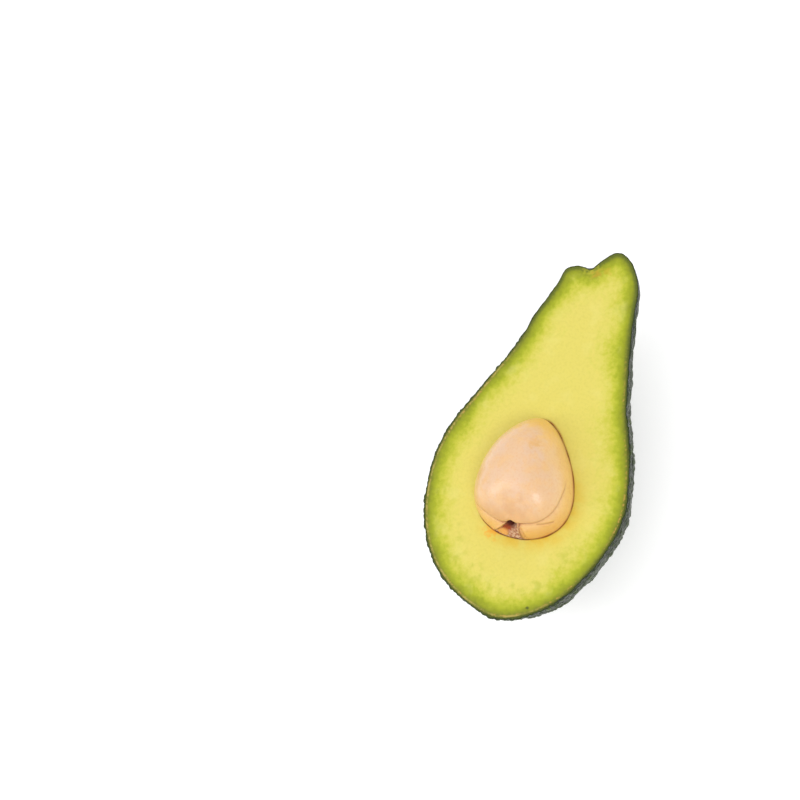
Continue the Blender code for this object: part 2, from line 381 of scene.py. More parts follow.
# %% [markdown]
# On the left the flesh still holds the seed. Everywhere else the seed has shrunk away from it a
# little, and the thin dark line of that gap is a large part of what makes the picture believable.
# It is a real gap of a sixth of a millimetre, opened between the egg and a slightly larger one.

# %% How loosely the seed lies in its hollow
GAP_LOOSE = 0.155 * MM
GAP_TIGHT = 0.06 * MM
TIGHT_SIDE = math.radians(168)
TIGHT_REACH, LOOSE_REACH = math.radians(36), math.radians(58)
GROOVE_REACH = math.radians(1.1)


def looseness(turn):
    """0 on the left, where seed and flesh still touch, and 1 where the seed has come away."""
    off = np.abs((turn - TIGHT_SIDE + math.pi) % math.tau - math.pi)
    uneven = 0.75 + 0.25 * np.sin(5 * turn + 1) * np.sin(11 * turn)
    return smooth(TIGHT_REACH, LOOSE_REACH, off) * uneven


def hollow(latitude, turn):
    """The hollow's wall. Where it is loose it opens in a shallow groove along the cut face."""
    opening = np.exp(latitude / GROOVE_REACH) * (0.6 + 0.4 * smooth(0.1, -0.7, np.sin(turn)))
    return egg(latitude, turn, GAP_TIGHT + (GAP_LOOSE - GAP_TIGHT) * opening * looseness(turn))


turns = np.linspace(-math.pi, math.pi, 721)
hollow_edge = hollow(np.zeros_like(turns), turns)
order = np.argsort(bearing(hollow_edge))
edge_bearing, edge_turn = bearing(hollow_edge)[order], turns[order]


def turn_towards(points):
    """The turn at which each point looks at the hollow's edge."""
    return np.interp(bearing(points), edge_bearing, edge_turn, period=math.tau)


# %% Extrude the cut face from the rim to the seed
FLESH_AROUND, FLESH_ALONG = 36, 200
FLESH_INSIDE = SKIN_THICKNESS + 0.03 * MM
FACE_RINGS = 44
HOLLOW_RINGS = (0.8, 1.8, 3, 5, 10, 18, 28, 40, 54, 70)


def extrude_to(place):
    """Extrudes the selected rim and moves the new points to where a function puts them."""
    bpy.ops.mesh.extrude_edges_move(TRANSFORM_OT_translate={"value": (0, 0, 0)})
    mesh = bmesh.from_edit_mesh(bpy.context.object.data)
    chosen = [v for v in mesh.verts if v.select]
    for vert, target in zip(chosen, place(np.array([v.co for v in chosen]))):
        vert.co = target
    bmesh.update_edit_mesh(bpy.context.object.data)


flesh = rolled_fruit("flesh_half", FLESH_AROUND, FLESH_ALONG)
push(flesh, -FLESH_INSIDE)
cut_level(flesh)
press_flat(flesh, SKIN_THICKNESS)
edit(flesh)
select_open_rim()
reached = 0.0
for ring in range(1, FACE_RINGS + 1):
    share = (ring / FACE_RINGS) ** 1.5
    step = (share - reached) / (1 - reached)
    extrude_to(lambda points: points + (hollow(0.0, turn_towards(points)) - points) * step)
    reached = share
for degrees in HOLLOW_RINGS:
    latitude = -math.radians(degrees)
    extrude_to(lambda points: hollow(latitude, turn_towards(points)))
bpy.ops.mesh.extrude_edges_move(TRANSFORM_OT_translate={"value": (0, 0, 0)})
bpy.ops.mesh.merge(type="CENTER")
face_outwards_and_leave()
print("flesh:", triangles(flesh), "triangles")

# %% [markdown]
# The distances that the colours follow are measured now and kept as attributes in millimetres: how
# far each point of the cut face is from the skin, and how far from the hollow's edge. The knife
# left the face not quite flat, and a slight wave in it catches the light.

# %% Measure the cut face
DEEP_MM = 12.0  # far enough from skin or seed for the colours to take no notice


def distance_to_line(points, line):
    """The distance of each point to a closed line, in the plane of the cut face."""
    start, end = line, np.roll(line, -1, axis=0)
    along = end - start
    nearest = np.full(len(points), 1e9)
    for a, step in zip(start, along):
        share = np.clip((points - a) @ step / max(step @ step, 1e-18), 0, 1)
        nearest = np.minimum(nearest, np.linalg.norm(points - a - share[:, None] * step, axis=1))
    return nearest


points = read_points(flesh.data)
t = np.linspace(0, LAST, 400)
left_rim = fruit_surface(t, np.zeros_like(t))
right_rim = fruit_surface(t[::-1], np.full_like(t, math.pi))
rim_line = np.vstack([left_rim, right_rim])[:, :2]
level = np.abs(points[:, 2] - CUT) < SAME_POINT
from_skin = np.full(len(points), DEEP_MM)
from_skin[level] = distance_to_line(points[level, :2], rim_line) / MM
from_seed = np.zeros(len(points))
from_seed[level] = distance_to_line(points[level, :2], hollow_edge[:, :2]) / MM
outer = ~level & (np.linalg.norm(points - SEED_CENTRE, axis=1) > 20 * MM)
from_skin[outer] = SKIN_THICKNESS / MM
from_seed[outer] = DEEP_MM
write_attribute(flesh, "from_skin", from_skin)
write_attribute(flesh, "from_seed", from_seed)
write_attribute(flesh, "loose", looseness(turn_towards(points)))
print("flesh on the cut face is up to", round(float(from_skin[level].max()), 1), "mm from the skin")

# %% Let the knife waver
WAVE_HEIGHT = 0.09 * MM


def knife_wave(x, y):
    broad, fine = Vector((x, y, 0)) * 120, Vector((x, y, 0.1)) * 340
    return noise.noise(broad) + 0.4 * noise.noise(fine)


wave = np.array([knife_wave(x, y) for x, y, _ in points])
calm = smooth(0.6, 3.0, from_skin) * smooth(0.3, 3.0, from_seed) * level
points[:, 2] += WAVE_HEIGHT * wave * calm
write_points(flesh.data, points)
flesh.data.shade_smooth()
select_only(flesh)
bpy.ops.object.shade_smooth_by_angle(angle=math.radians(40))
highest = float(np.abs(WAVE_HEIGHT * wave * calm).max())
print("the cut wavers by up to", round(highest / MM, 2), "mm")

# %% [markdown]
# ## The seed
# The seed is a blunt egg, and its surface is smooth, with a soft gloss. It is made of two thick
# leaves. The upper one is a dome with two low bulges at the root end. It meets the lower one at a
# seam, which runs high across that end and sinks away at both sides. Under the dome's lip the lower
# leaf is split by a cleft: the mouth, where the root comes out. Sculpting could give all that, but
# nobody could change a number afterwards. Here a grid is rolled into the egg, one of its rows
# follows the seam, so that the seam is crisp, and its columns crowd together at the mouth.

# %% The seam's course, as latitudes at equal turns from the left side round the root end
SEAM_HEIGHTS = (8, 13, 24, 32.5, 32.5, 33.5, 32.2, 31.3, 29, 21.5, 14, 9, 6, 5, 5, 5, 6, 7)
SEAM_STEP = math.tau / len(SEAM_HEIGHTS)
NOTCH_HEIGHT, NOTCH_BEARING, NOTCH_WIDTH = 3.2, -88.5, 4.5


def bell(value, centre, width):
    """1 at the centre, falling to 0 a few widths away."""
    return np.exp(-(((value - centre) / width) ** 2))


def seam_latitude(turn):
    looped = np.array(SEAM_HEIGHTS[-1:] + SEAM_HEIGHTS + SEAM_HEIGHTS[:2], dtype=float)[:, None]
    notch = NOTCH_HEIGHT * bell(np.degrees(turn), NOTCH_BEARING, NOTCH_WIDTH)
    return np.radians(through(looped, (turn + math.pi) / SEAM_STEP)[:, 0] + notch)


# %% Roll the seed
SEED_AROUND, SEED_ALONG = 384, 240
MOUTH_TURN = math.radians(-90)


def seed_place(round_share, up_share):
    share = 2 * up_share - 1
    share = np.sign(share) * np.abs(share) ** 1.25
    off_mouth = (2 * round_share - 1) * math.pi
    turn = (MOUTH_TURN + off_mouth - 0.5 * np.sin(off_mouth) + math.pi) % math.tau - math.pi
    seam = seam_latitude(turn)
    return egg(seam + share * np.where(share > 0, math.pi / 2 - seam, math.pi / 2 + seam), turn)


seed = roll("seed_whole", SEED_AROUND, SEED_ALONG, seed_place)
print("seed:", triangles(seed), "triangles")

# %% Where each point of the seed lies, and the way out of it
points = read_points(seed.data)
scaled = points - SEED_CENTRE
latitude = np.arcsin(np.clip(scaled[:, 2] / SEED_THICKNESS, -1, 1))
level = np.maximum(np.cos(latitude), 1e-9)
sine = np.clip(scaled[:, 1] / SEED_LENGTH / level, -1, 1)
cosine = scaled[:, 0] / (SEED_WIDTH * (1 - SEED_POINT * sine)) / level
turn = np.arctan2(sine, cosine)
seam = seam_latitude(turn)
outward = scaled / np.array((SEED_WIDTH, SEED_LENGTH, SEED_THICKNESS)) ** 2
outward /= np.linalg.norm(outward, axis=1)[:, None]
degrees, bearings = np.degrees(latitude), np.degrees(turn)

# The seam: a fine groove, deeper towards the mouth, that fades where it meets the hollow.
from_seam = (latitude - seam) * SEED_THICKNESS / MM
shown = smooth(-150, -138, bearings) * (1 - smooth(-8, 8, bearings))
at_mouth = bell(bearings, -88, 24)
groove = shown * np.exp(-np.abs(from_seam) / 0.22) * (0.14 + 0.6 * at_mouth)
lip = shown * bell(from_seam, 1.1, 1.1) * (0.1 + 0.35 * at_mouth)
print("seam is at", round(float(degrees[np.abs(from_seam) < 0.05].max())), "degrees at its highest")

# %% [markdown]
# The mouth is a few millimetres of torn and folded tissue. Its two sides are drawn as crooked lines
# under the seam. Between them the surface sinks: a hole goes deepest, a wall slopes up from it on
# the left, a flap stays near the surface in front of that, and the rest is rough. The edges of both
# sides roll outwards. Every form is a mask, a soft oval or a strip along a line, because most of
# the masks that move the surface also tell the finish where to put its colour.

# %% Draw the mouth's sides
MOUTH_LEFT = ((0, 2.7, 5.85, 8.3, 9.6, 11), (-6.2, -5.3, -3.5, -2.0, -1.2, -0.9))
MOUTH_RIGHT = ((0, 3, 8, 10.6), (3.9, 3.1, 3.1, 3.9))
MM_PER_DEGREE_ACROSS, MM_PER_DEGREE_UP = 0.31, 0.30

# Millimetres to the right of the mouth and above the cut face, along the seed's surface.
across, up = (bearings + 90) * MM_PER_DEGREE_ACROSS, degrees * MM_PER_DEGREE_UP


def blot(right, above, wide, tall, lean=0.0):
    """1 at a place near the mouth, falling off as a tilted oval."""
    dx, dy = across - right, up - above
    dx, dy = dx * math.cos(lean) + dy * math.sin(lean), dy * math.cos(lean) - dx * math.sin(lean)
    return np.exp(-((dx / wide) ** 2 + (dy / tall) ** 2))


def rough_noise(scale, finer):
    """Noise with a finer and weaker one on it, at each point of the seed."""
    places = map(Vector, points * scale)
    return np.array([noise.noise(p) + finer[0] * noise.noise(p * finer[1]) for p in places])


rough = rough_noise(1400, (0.6, 2.3))
from_left = across - np.interp(up, *MOUTH_LEFT) + 0.25 * rough
from_right = np.interp(up, *MOUTH_RIGHT) - across + 0.15 * rough
cleft = smooth(0, 0.5, from_left) * smooth(0.1, 1.5, from_right) * smooth(-0.1, 0.35, -from_seam)
cleft *= smooth(-20, -5, degrees)
print("mouth takes up", int((cleft > 0.5).sum()), "points")

# %% Sink the mouth and roll its edges
hole = np.minimum(2.2 * blot(-0.25, 8.5, 1.6, 1.6), 1) * cleft
wall = np.minimum(1.8 * blot(-2.1, 4.9, 1.4, 2.1, -0.5), 1) * cleft
flap = smooth(0.35, 0.6, blot(-3.3, 2.4, 2.2, 2.0, -0.6)) * cleft
sunk = 1.15 * cleft * (1 - 0.85 * flap) + 3.2 * hole + 0.6 * wall + 0.24 * cleft * rough
sunk *= smooth(-0.8, 3.6, up)
below = smooth(0.3, -0.3, from_seam) * smooth(0, 3, up)
right_roll = bell(from_right, 0.15, 0.55) * below
left_roll = bell(from_left, -0.6, 0.5) * below
crease = bell(from_right, -0.75, 0.22) * below * smooth(8.6, 7.4, up)
edge = bell(from_left, 0.1, 0.28) + bell(from_right, 0.1, 0.28)
edge = np.minimum(edge, 1) * below * smooth(0, 1.5, up)
flake = blot(4.7, 6.6, 0.35, 0.9, -0.3)
curl = blot(1.9, 9.9, 1.3, 0.5) + 0.6 * blot(-2.4, 9.4, 0.8, 0.4)
print("mouth is", round(float(sunk.max()), 1), "mm deep at its deepest")

# %% [markdown]
# What makes the dome read as a seed and not as an egg are its two bulges with a shallow valley
# between them: each carries a light of its own. A shoulder fills its left side, a short fold lies
# to the right of the mouth, and faint dents are everywhere. All are added up in millimetres, and
# the surface moves once, straight out from the egg.

# %% Swell the seed's two bulges and press the rest
FOLD_STEP = 0.27
FOLD = np.array(((29, -59.5), (25, -51.5), (20, -43.5), (25, -51.5)))
FOLD *= (MM_PER_DEGREE_UP, FOLD_STEP)


def near(latitude, turn, radius):
    """1 at a place on the seed, given in degrees, falling to 0 a few radii away."""
    place = egg(math.radians(latitude), math.radians(turn))
    return bell(np.linalg.norm(points - place, axis=1), 0, radius)


fold = bell(distance_to_line(np.column_stack([up, bearings * FOLD_STEP]), FOLD), 0, 0.3)
bulges = near(60, -121, 7 * MM) + near(54, -44, 7.5 * MM)
shoulder = near(30, 150, 12 * MM) * smooth(0, 15, degrees)
valley = near(50, -80, 4.2 * MM)
dents = rough_noise(130, (0.5, 2.6))
rise = 0.75 * bulges + 1.9 * shoulder + lip + 0.07 * dents
rise += 0.6 * right_roll + 0.25 * left_roll + 0.3 * curl + 0.22 * flake
fall = 0.75 * valley + groove + sunk + 0.18 * fold + 0.14 * crease + 0.2 * edge
points += outward * ((rise - fall) * MM)[:, None]
write_points(seed.data, points)
seed.data.shade_smooth()
print("seed rises by up to", round(float(rise.max()), 1), "mm")

# %% Keep the seed's masks for its finish
# The hole's dark brown is painted shade. From the camera that shade shows lower and further left
# than the hole's relief, so it has its own mask.
painted_hole_shade = np.minimum(2.6 * blot(-0.7, 8.0, 1.5, 1.8), 1) * cleft
# Painted shade low on the dome, just above the seam, under its lip.
painted_lip_shade = smooth(6.5, 0.8, from_seam) * smooth(-0.2, 0.8, from_seam) * bell(bearings, -98, 44)
seam_line = shown * np.exp(-np.abs(from_seam) / 0.24) * (0.6 + 0.4 * at_mouth)
SEED_MASKS = {
    "stained": smooth(4.5, 0, degrees) * looseness(turn),
    "painted_lip_shade": painted_lip_shade,
    "mouth": cleft,
    "hole": painted_hole_shade,
    "wall": wall,
    "flap": flap,
    "seam": np.clip(seam_line + 0.6 * fold + 0.3 * crease, 0, 1),
    "edge": edge,
    "roll": np.clip(right_roll + 0.3 * left_roll + curl, 0, 1),
}
for name, mask in SEED_MASKS.items():
    write_attribute(seed, name, mask)
print("masks on the seed:", ", ".join(SEED_MASKS))

# %% [markdown]
# ## Materials
# Nothing on a fruit has one colour. Each finish is mixed from colours, and masks say where each one
# shows: the attributes measured above, and noise for what grows at random. Many of the colours
# began as averages or single readings taken from the photograph, and were then corrected until the
# render came close under this scene's light. The rest were found by trying. A painted picture could
# replace the masks, but it would blur close up and need unwrapping. Two small node groups are
# shared. One makes soft-edged patches, the other makes a fine bump.

# %% Shared node groups
def srgb(red, green, blue):
    """A colour as it is read off a picture, 0 to 255, in the numbers that a shader wants."""
    scaled = [c / 255 for c in (red, green, blue)]
    return (*[c / 12.92 if c <= 0.04045 else ((c + 0.055) / 1.055) ** 2.4 for c in scaled], 1.0)


def new_group(name, numbers, output, kind, detail):
    """A group with a Vector input, one input per number, one output, and noise of a given Size."""
    group = bpy.data.node_groups.new(name, "ShaderNodeTree")
    group.interface.new_socket("Vector", in_out="INPUT", socket_type="NodeSocketVector")
    for label, value in numbers.items():
        socket = group.interface.new_socket(label, in_out="INPUT", socket_type="NodeSocketFloat")
        socket.default_value = value
    group.interface.new_socket(output, in_out="OUTPUT", socket_type=kind)
    ins, outs = group.nodes.new("NodeGroupInput"), group.nodes.new("NodeGroupOutput")
    divide = group.nodes.new("ShaderNodeMath")
    divide.operation = "DIVIDE"
    divide.inputs[0].default_value = 1.0
    cloud = group.nodes.new("ShaderNodeTexNoise")
    cloud.inputs["Detail"].default_value = detail
    group.links.new(ins.outputs["Size"], divide.inputs[1])
    group.links.new(ins.outputs["Vector"], cloud.inputs["Vector"])
    group.links.new(divide.outputs[0], cloud.inputs["Scale"])
    return group, ins, outs, cloud.outputs["Fac"]


def patches_group():
    """Soft-edged patches: noise of a given size, kept above a threshold."""
    numbers = {"Size": 0.01, "Start": 0.5, "Full": 0.6}
    group, ins, outs, cloud = new_group("patches", numbers, "Mask", "NodeSocketFloat", 3.0)
    keep = group.nodes.new("ShaderNodeMapRange")
    keep.interpolation_type = "SMOOTHSTEP"
    group.links.new(cloud, keep.inputs["Value"])
    group.links.new(ins.outputs["Start"], keep.inputs["From Min"])
    group.links.new(ins.outputs["Full"], keep.inputs["From Max"])
    group.links.new(keep.outputs["Result"], outs.inputs["Mask"])
    return group


def fine_bump_group():
    """A fine unevenness of the surface, as a normal."""
    numbers = {"Size": 0.001, "Height": 0.0001}
    group, ins, outs, cloud = new_group("fine_bump", numbers, "Normal", "NodeSocketVector", 4.0)
    bump = group.nodes.new("ShaderNodeBump")
    group.links.new(cloud, bump.inputs["Height"])
    group.links.new(ins.outputs["Height"], bump.inputs["Distance"])
    group.links.new(bump.outputs["Normal"], outs.inputs["Normal"])
    return group


PATCHES, FINE_BUMP = patches_group(), fine_bump_group()
print("node groups:", PATCHES.name, FINE_BUMP.name)

# %% [markdown]
# A material is built up as a painter does it: a ground colour, then one thin layer after another,
# each with its mask. The class below keeps the colour reached so far and has one short method for
# each kind of node, so that a finish reads as a list of layers.

# %% Short ways to wire a material
class Finish:
    """A new material whose colour is laid on in layers."""

    def __init__(self, name):
        self.material = bpy.data.materials.new(name)
        self.material.use_nodes = True
        self.nodes = self.material.node_tree.nodes
        self.links = self.material.node_tree.links
        self.shader = self.nodes["Principled BSDF"]
        self.place = self.nodes.new("ShaderNodeTexCoord").outputs["Object"]
        self.colour = None

    def feed(self, socket, value):
        """Puts a number or colour on a socket, or links it to another node's output."""
        if isinstance(value, (int, float, tuple)):
            socket.default_value = value
        else:
            self.links.new(value, socket)

    def set(self, **values):
        for label, value in values.items():
            self.shader.inputs[label.replace("_", " ")].default_value = value

    def send(self, value, label):
        self.links.new(value, self.shader.inputs[label])

    def group(self, tree, **values):
        node = self.nodes.new("ShaderNodeGroup")
        node.node_tree = tree
        self.links.new(self.place, node.inputs["Vector"])
        for label, value in values.items():
            node.inputs[label].default_value = value
        return node.outputs[0]

    def patches(self, size, start, full):
        return self.group(PATCHES, Size=size, Start=start, Full=full)

    def attribute(self, name):
        node = self.nodes.new("ShaderNodeAttribute")
        node.attribute_name = name
        return node.outputs["Fac"]

    def xyz(self):
        node = self.nodes.new("ShaderNodeSeparateXYZ")
        self.links.new(self.place, node.inputs[0])
        return node.outputs

    def math(self, operation, a, b):
        node = self.nodes.new("ShaderNodeMath")
        node.operation = operation
        self.feed(node.inputs[0], a)
        self.feed(node.inputs[1], b)
        return node.outputs[0]

    def product(self, first, *others):
        for other in others:
            first = self.math("MULTIPLY", first, other)
        return first

    def span(self, value, low, high, to_low=0.0, to_high=1.0):
        """Turns a range of values smoothly into another range."""
        node = self.nodes.new("ShaderNodeMapRange")
        node.interpolation_type = "SMOOTHSTEP"
        numbers = {"From Min": low, "From Max": high, "To Min": to_low, "To Max": to_high}
        for label, number in numbers.items():
            node.inputs[label].default_value = number
        self.links.new(value, node.inputs["Value"])
        return node.outputs["Result"]

    def ramp(self, value, *stops):
        node = self.nodes.new("ShaderNodeValToRGB")
        elements = node.color_ramp.elements
        while len(elements) < len(stops):
            elements.new(1.0)
        for element, (position, rgb) in zip(elements, stops):
            element.position = position
            element.color = srgb(*rgb)
        self.links.new(value, node.inputs["Fac"])
        return node.outputs["Color"]

    def mix(self, mask, under, over):
        node = self.nodes.new("ShaderNodeMix")
        node.data_type = "RGBA"
        factor = [s for s in node.inputs if s.type == "VALUE"][0]
        first, second = [s for s in node.inputs if s.type == "RGBA"]
        self.feed(factor, mask)
        self.feed(first, under)
        self.feed(second, over)
        return [s for s in node.outputs if s.type == "RGBA"][0]

    def layer(self, mask, over, strength=1.0):
        """Lays a colour over what is there, as far as a mask and a strength say."""
        if strength != 1.0:
            mask = self.math("MULTIPLY", mask, strength)
        over = srgb(*over) if isinstance(over, tuple) else over
        self.colour = self.mix(mask, self.colour, over)

    def stain(self, place, radius, over, strength, grain=0.0012):
        """A small stain at a place, with a ragged edge."""
        away = self.nodes.new("ShaderNodeVectorMath")
        away.operation = "DISTANCE"
        away.inputs[1].default_value = place
        self.links.new(self.place, away.inputs[0])
        ragged = self.math("MULTIPLY", self.patches(grain, 0.3, 0.7), radius * 0.6)
        reach = self.math("ADD", away.outputs["Value"], ragged)
        self.layer(self.span(reach, radius * 0.35, radius * 1.2, strength, 0.0), over)


# %% [markdown]
# ## The skin's finish
# The valleys are nearly black, and each pebble is a lighter green on top, so the ground colour
# follows the height of the pebbles. Broad lighter patches, a little rust and pale pinprick specks
# lie over it. Where the knife went through, the skin turns from green to olive towards the flesh.
# The gloss comes and goes in small patches, as on real wax.

# %% Skin finish
peel = Finish("skin")
tops = peel.attribute("pebble")
peel.colour = peel.ramp(tops, (0.0, (10, 20, 3)), (0.4, (34, 48, 14)), (1.0, (84, 100, 40)))
peel.layer(peel.patches(0.022, 0.45, 0.72), (54, 80, 22), 0.45)
peel.layer(peel.patches(0.007, 0.6, 0.75), (84, 74, 28), 0.3)
peel.layer(peel.patches(0.0009, 0.64, 0.74), (112, 130, 76), 0.4)
inside = peel.attribute("inside")
cut_edge = peel.ramp(inside, (0.0, (30, 46, 10)), (0.5, (66, 78, 22)), (1.0, (108, 112, 42)))
peel.layer(peel.span(inside, 0.0, 0.15), cut_edge)
peel.send(peel.colour, "Base Color")
peel.send(peel.span(peel.patches(0.003, 0.3, 0.7), 0.0, 1.0, 0.2, 0.34), "Roughness")
peel.send(peel.group(FINE_BUMP, Size=0.0008, Height=0.0003), "Normal")
peel.set(IOR=1.45, Specular_IOR_Level=0.26)
print("skin finish:", len(peel.nodes), "nodes")

# %% [markdown]
# ## The flesh's finish
# The flesh is dark olive against the skin, turns a fresh yellow-green within a millimetre or two
# and then slowly a pale yellow. The band's width wanders, so its distance is stretched by noise.
# At the neck the rind is darker. Near the blossom end the face is dappled with green. A thin pale
# line along the left rim is painted light, where the light from the left catches the cut edge, and a
# beaded brown thread runs under the skin up to the neck.

# %% From the skin inwards, by millimetres
# Distance from the skin, and the colour there. These began as the photograph's mean colour at a few
# distances from the rim, and were then smoothed and corrected for this scene's light.
FLESH_BY_MM = (
    (0.0, (84, 92, 12)),
    (0.5, (100, 108, 10)),
    (0.85, (117, 125, 10)),
    (1.2, (130, 138, 10)),
    (1.6, (143, 151, 8)),
    (2.1, (151, 160, 10)),
    (2.7, (162, 170, 18)),
    (3.4, (175, 182, 32)),
    (4.6, (195, 195, 56)),
    (6.0, (208, 202, 77)),
    (7.8, (217, 208, 93)),
    (11.0, (223, 210, 101)),
)
FLESH_REACH = FLESH_BY_MM[-1][0]

pulp = Finish("flesh")
skin_mm, seed_mm = pulp.attribute("from_skin"), pulp.attribute("from_seed")
x, y, _ = pulp.xyz()
wander = pulp.math("MULTIPLY", pulp.patches(0.011, 0.25, 0.75), 0.4)
ripple = pulp.math("MULTIPLY", pulp.patches(0.0014, 0.25, 0.75), 0.35)
at_stem = pulp.span(y, 0.044, 0.06, 0.6, 0.54)
stretch = pulp.math("ADD", pulp.math("ADD", wander, ripple), at_stem)
band = pulp.math("DIVIDE", pulp.math("MULTIPLY", skin_mm, stretch), FLESH_REACH)
pulp.colour = pulp.ramp(band, *((mm / FLESH_REACH, rgb) for mm, rgb in FLESH_BY_MM))
at_neck = pulp.span(y, 0.03, 0.055)
pulp.layer(pulp.product(pulp.span(skin_mm, 0.4, 1.7, 1.0, 0.0), at_neck), (84, 98, 14), 0.8)
print("flesh has", len(FLESH_BY_MM), "colours from the skin inwards")

# %% Dapples, grain and pale clouds
low_end = pulp.span(y, -0.034, -0.012, 1.0, 0.0)
inshore = pulp.product(pulp.span(skin_mm, 1.0, 3.0), pulp.span(skin_mm, 9.0, 14.0, 1.0, 0.0))
dapples = pulp.product(pulp.patches(0.0032, 0.48, 0.72), inshore, low_end)
pulp.layer(dapples, (172, 180, 30), 0.5)
pulp.layer(pulp.patches(0.0009, 0.4, 0.75), (176, 170, 40), 0.13)
off_the_rim = pulp.span(skin_mm, 1.8, 4.0, 0.0, 0.3)
pulp.layer(pulp.product(pulp.patches(0.006, 0.52, 0.75), off_the_rim), (232, 222, 130))

# %% The brown thread, and the painted light on the left rim
thread = pulp.product(
    pulp.span(skin_mm, 0.5, 0.8),
    pulp.span(skin_mm, 0.9, 1.4, 1.0, 0.0),
    pulp.patches(0.0009, 0.47, 0.6),
    pulp.patches(0.009, 0.4, 0.6),
    pulp.span(y, 0.03, 0.045, 1.0, 0.0),
)
pulp.layer(thread, (190, 150, 66), 0.8)
# Painted light: a broken pale line along the left rim, where the light from the left catches the cut
# edge.
lit_rim_breaks = pulp.math("MULTIPLY", pulp.patches(0.0011, 0.4, 0.6), 0.6)
lit_left_rim = pulp.product(
    pulp.span(skin_mm, 0.3, 0.5),
    pulp.span(skin_mm, 0.75, 1.2, 1.0, 0.0),
    pulp.math("ADD", lit_rim_breaks, 0.15),
    pulp.span(x, 0.006, 0.022, 1.0, 0.0),
    pulp.span(y, 0.02, 0.045, 1.0, 0.0),
)
pulp.layer(lit_left_rim, (186, 168, 86))

# %% [markdown]
# The seed has stained its surroundings amber, most of all below it on the right. A few stains have
# places of their own: orange by the seed's mouth, brown in the stem's notch, and two dark specks.
# The air has browned the hollow's edge where the seed has come away. Towards the stem that brown
# band is widened into painted shade, so that the gap's dark line shows beyond the seed's outline.
# The flesh is moist and lets light in, so the shader has a soft gloss and a little subsurface
# scattering.

# %% Stains on the flesh, and its gloss
FLESH_STAINS = (  # x and y, radius, colour, strength
    ((-0.0080, -0.0236), 0.0040, (238, 168, 40), 0.8),
    ((0.0022, 0.0634), 0.0042, (186, 184, 44), 0.75),
    ((0.0040, 0.0622), 0.0024, (190, 140, 34), 0.5),
    ((0.0072, 0.0640), 0.0022, (206, 160, 40), 0.35),
    ((0.0094, -0.0452), 0.0009, (62, 72, 12), 0.85),
    ((0.0145, -0.0085), 0.0006, (130, 80, 20), 0.7),
)

downhill = pulp.math("SUBTRACT", pulp.math("MULTIPLY", x, 0.6), pulp.math("MULTIPLY", y, 0.8))
amber = pulp.product(
    pulp.span(downhill, 0.004, 0.02),
    pulp.span(seed_mm, 0.2, 5.5, 1.0, 0.0),
    pulp.patches(0.004, 0.2, 0.7),
)
pulp.layer(amber, (226, 186, 44), 0.75)
for place, radius, rgb, strength in FLESH_STAINS:
    pulp.stain((*place, CUT), radius, rgb, strength)
# Browning and painted shade: the band widens towards the stem, so that the gap's dark line shows
# beyond the seed's outline.
browned_and_gap_shade = pulp.math("DIVIDE", seed_mm, pulp.span(y, 0.002, 0.012, 0.42, 0.85))
browned_and_gap_shade = pulp.product(pulp.span(browned_and_gap_shade, 0.0, 1.0, 1.0, 0.0), pulp.attribute("loose"))
pulp.layer(browned_and_gap_shade, (152, 72, 14))
pulp.send(pulp.colour, "Base Color")
pulp.send(pulp.group(FINE_BUMP, Size=0.0011, Height=0.00004), "Normal")
pulp.set(Roughness=0.4, IOR=1.4, Subsurface_Weight=0.12, Subsurface_Scale=0.0012)
pulp.set(Subsurface_Radius=(1.0, 0.8, 0.25))
print("flesh finish:", len(pulp.nodes), "nodes")

# %% [markdown]
# ## The seed's finish
# The seed is peach, pinker on the dome and more golden on the lower leaf and towards the hollow,
# where that colour is also lightened as painted light against the shade. It has yellowish smears at
# its tip and round the dome, painted shade low on the dome under its lip and on a patch between the
# two bulges, two dark pinpricks on the left, and a soft gloss. In the mouth the hole is painted dark
# brown as its shade, the wall beside it red-brown, the flap orange, and the rest a greyish fuzz with
# little gloss.

# %% The dome and the flanks
SMEARS_AND_DOME_SHADE = (  # place above the cut face, radius, colour, strength, grain of the ragged edge
    ((-0.0128, -0.0100, 0.0100), 0.0070, (220, 172, 106), 0.75, 0.003),
    ((0.0095, 0.0000, 0.0090), 0.0085, (238, 194, 120), 0.5, 0.003),
    ((0.0030, 0.0035, 0.0125), 0.0030, (228, 172, 86), 0.6, 0.0012),
    # The last one is painted shade: a darker patch low on the dome between the two bulges, where no
    # highlight falls.
    ((0.0012, -0.0175, 0.0115), 0.0075, (220, 170, 118), 0.65, 0.003),
)


def on_seed(place):
    return (place[0], place[1], CUT + place[2])


kernel = Finish("seed")
_, along, height = kernel.xyz()
pink, golden = srgb(230, 194, 162), srgb(231, 190, 146)
kernel.colour = kernel.mix(kernel.patches(0.008, 0.35, 0.7), pink, golden)
# Lower on the seed the colour turns golden. It is also lightened there, as painted light against the
# shade near the hollow.
golden_lit_flank = kernel.span(height, CUT + 0.0030, CUT + 0.0135, 1.0, 0.0)
kernel.layer(golden_lit_flank, (250, 205, 126), 0.85)
root_end = kernel.product(golden_lit_flank, kernel.span(along, -0.021, -0.011, 0.65, 0.0))
kernel.layer(root_end, (230, 168, 82))
kernel.layer(kernel.attribute("stained"), (184, 94, 28), 0.8)
kernel.stain(on_seed((0.0005, 0.0105, 0.006)), 0.0118, (246, 196, 92), 0.75, 0.0045)
# Painted shade low on the dome, under its lip.
kernel.layer(kernel.attribute("painted_lip_shade"), (208, 156, 92), 0.75)
for place, radius, rgb, strength, grain in SMEARS_AND_DOME_SHADE:
    kernel.stain(on_seed(place), radius, rgb, strength, grain)
kernel.layer(kernel.patches(0.0028, 0.42, 0.66), (238, 190, 126), 0.35)
kernel.layer(kernel.patches(0.0007, 0.42, 0.75), (214, 140, 92), 0.16)

# %% The seam, the mouth and the gloss
PINPRICKS = ((-0.0107, -0.0122, 0.0090), (-0.0102, -0.0133, 0.0095))

